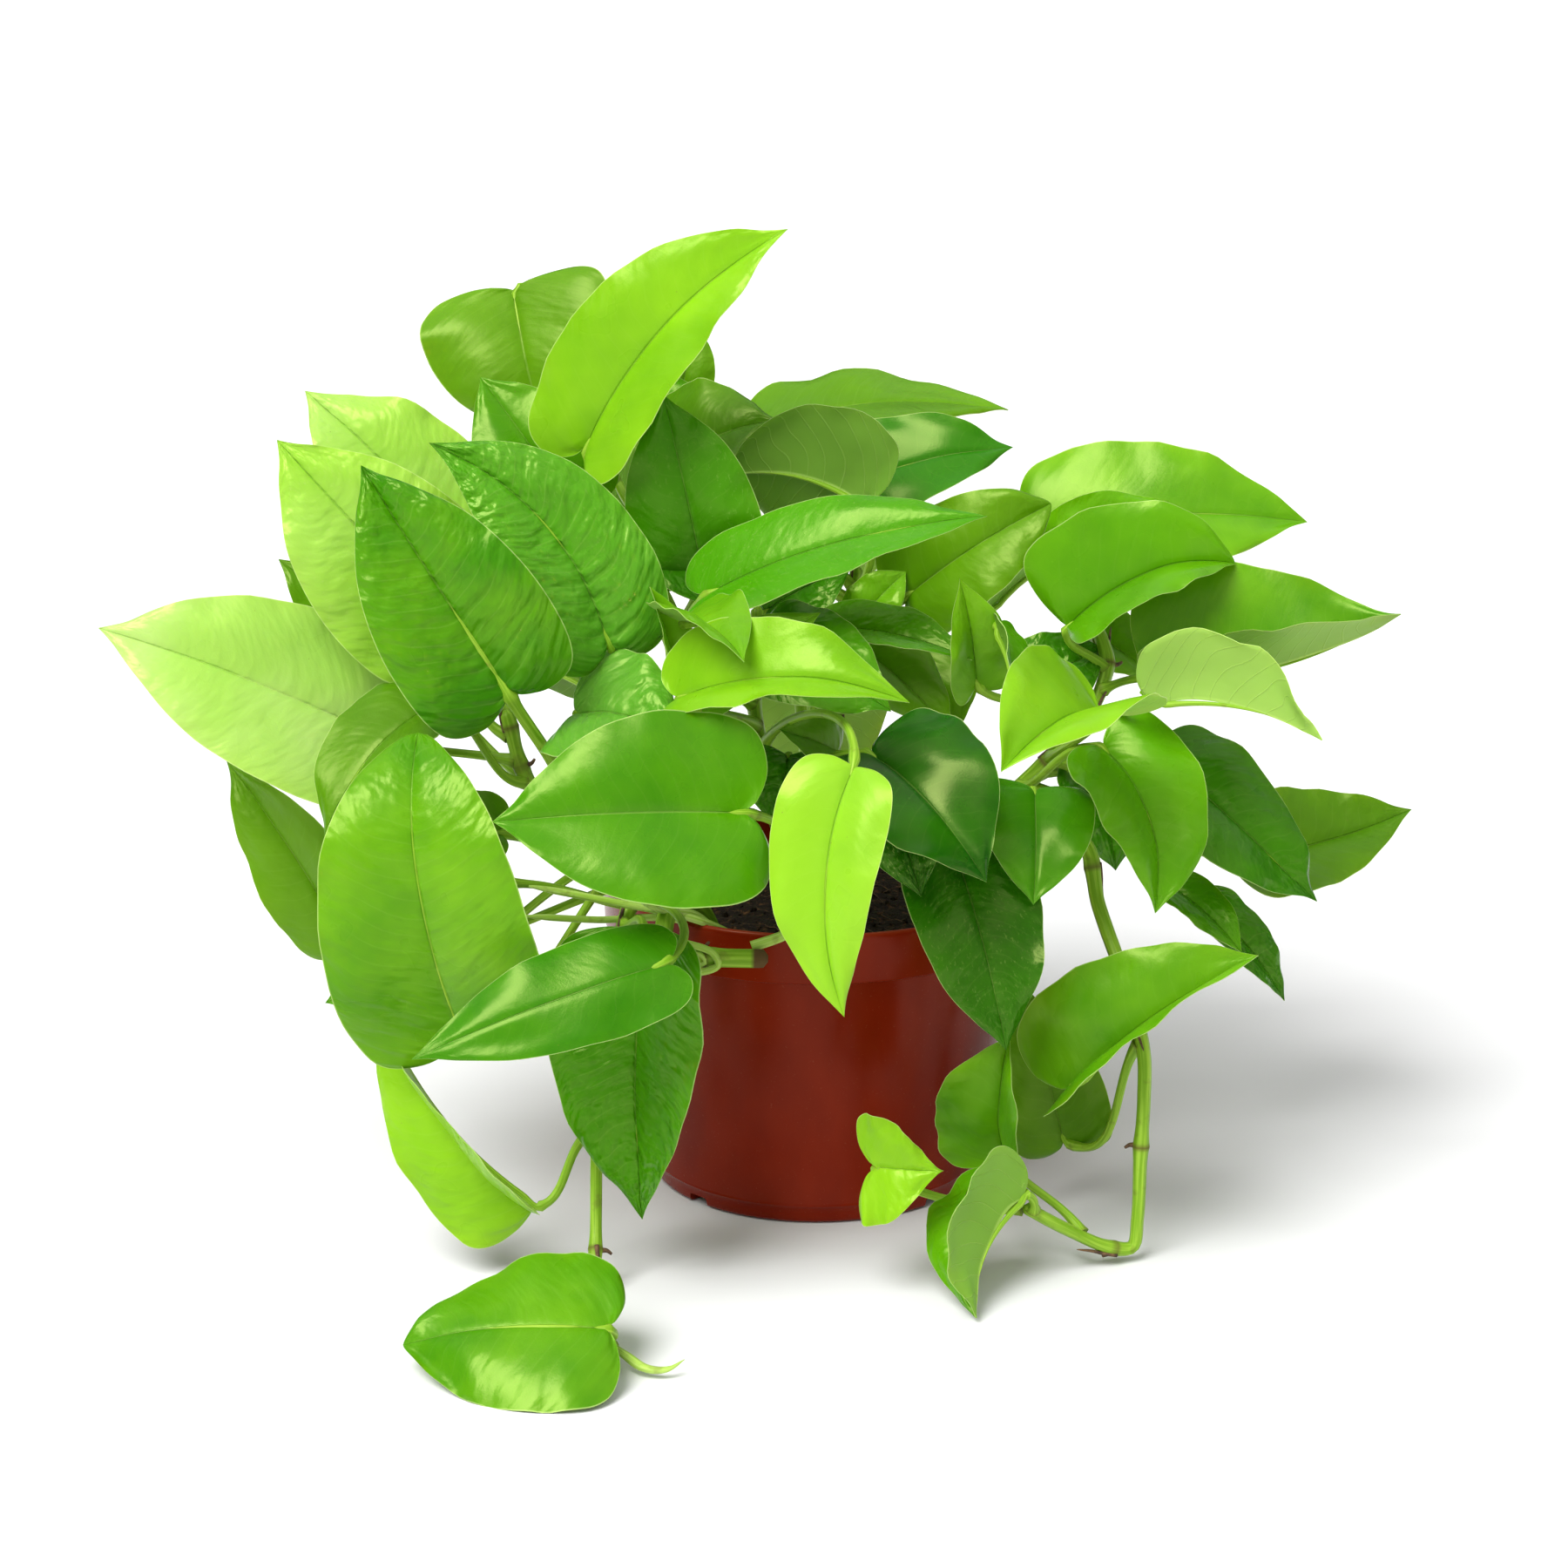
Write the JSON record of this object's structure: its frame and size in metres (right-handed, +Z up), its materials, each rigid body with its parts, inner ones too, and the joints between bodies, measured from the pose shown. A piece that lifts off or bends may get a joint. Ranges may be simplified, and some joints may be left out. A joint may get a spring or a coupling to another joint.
{
  "type": "potted pothos plant",
  "caption": "Potted trailing houseplant: a tapered round nursery pot filled with soil, bending green vines and heart-shaped leaves on long stalks.",
  "frame": {"origin": "centre of the pot's underside, on the surface the pot stands on", "axes": "+Z up out of the pot; the plant's fuller side and its two trailing vines face -Y; +X is to the right seen from there, the plant's longest way"},
  "size_m": [0.497, 0.3792, 0.366],
  "materials": {
    "pot": "thin satin-gloss terracotta-red plastic",
    "soil": "dark brown peaty potting mix with fibres, matt; density near that of light wood",
    "stem": "smooth fleshy green stem, satin",
    "leaf_lime": "bright yellow-green waxy leaf, glossy above",
    "leaf_green": "mid-green waxy leaf, glossy above",
    "leaf_deep": "deep green waxy leaf, quilted between its veins, glossy above",
    "leaf_olive": "soft olive green, satin"
  },
  "bodies": {
    "root": {"pot": "pot", "soil": "soil", "stem_left": "stem", "stem_crest": "stem", "stem_centre": "stem", "stem_upper": "stem", "stem_right": "stem", "stem_back": "stem", "stem_left_trailing": "stem", "stem_right_trailing": "stem", "stem_cut": "stem", "leaf_far_left": "leaf_lime", "leaf_left_quilted": "leaf_lime", "leaf_left_bright": "leaf_lime", "leaf_left_streaked": "leaf_lime", "leaf_centre_left_dark": "leaf_deep", "leaf_crest_left": "leaf_olive", "leaf_crest_tall": "leaf_lime", "leaf_crest_mid_left": "leaf_green", "leaf_left_curl": "leaf_olive", "leaf_front_left_big": "leaf_lime", "leaf_front_left_low": "leaf_green", "leaf_front_left_dark": "leaf_deep", "leaf_front_centre_broad": "leaf_green", "leaf_front_centre_hanging": "leaf_lime", "leaf_front_right_glossy": "leaf_deep", "leaf_front_right_variegated": "leaf_deep", "leaf_front_right_dark": "leaf_deep", "leaf_right_small_heart": "leaf_green", "leaf_right_neon_heart": "leaf_lime", "leaf_right_round": "leaf_green", "leaf_right_shaded": "leaf_deep", "leaf_far_right_low": "leaf_olive", "leaf_right_low_neon": "leaf_lime", "leaf_right_olive_back": "leaf_olive", "leaf_low_right_folded": "leaf_lime", "leaf_low_right_young": "leaf_lime", "leaf_low_right_floor": "leaf_green", "leaf_floor_left": "leaf_lime", "leaf_hanging_left": "leaf_lime", "leaf_left_olive": "leaf_olive", "leaf_centre_twist_dark": "leaf_deep", "leaf_centre_bright_long": "leaf_lime", "leaf_centre_green": "leaf_green", "leaf_upper_dark": "leaf_deep", "leaf_upper_long_glossy": "leaf_deep", "leaf_crest_olive": "leaf_olive", "leaf_upper_right_flat": "leaf_olive", "leaf_upper_right_point": "leaf_green", "leaf_upper_underside": "leaf_green", "leaf_right_upper_olive": "leaf_olive", "leaf_right_crest": "leaf_lime", "leaf_right_broad": "leaf_green", "leaf_far_right_folded": "leaf_lime", "leaf_right_pale_hanging": "leaf_lime", "leaf_back_left_high": "leaf_green", "leaf_back_centre_high": "leaf_lime", "leaf_back_right_wide": "leaf_green", "leaf_back_left_wide": "leaf_deep", "leaf_back_low": "leaf_lime"}
  },
  "joints": []
}
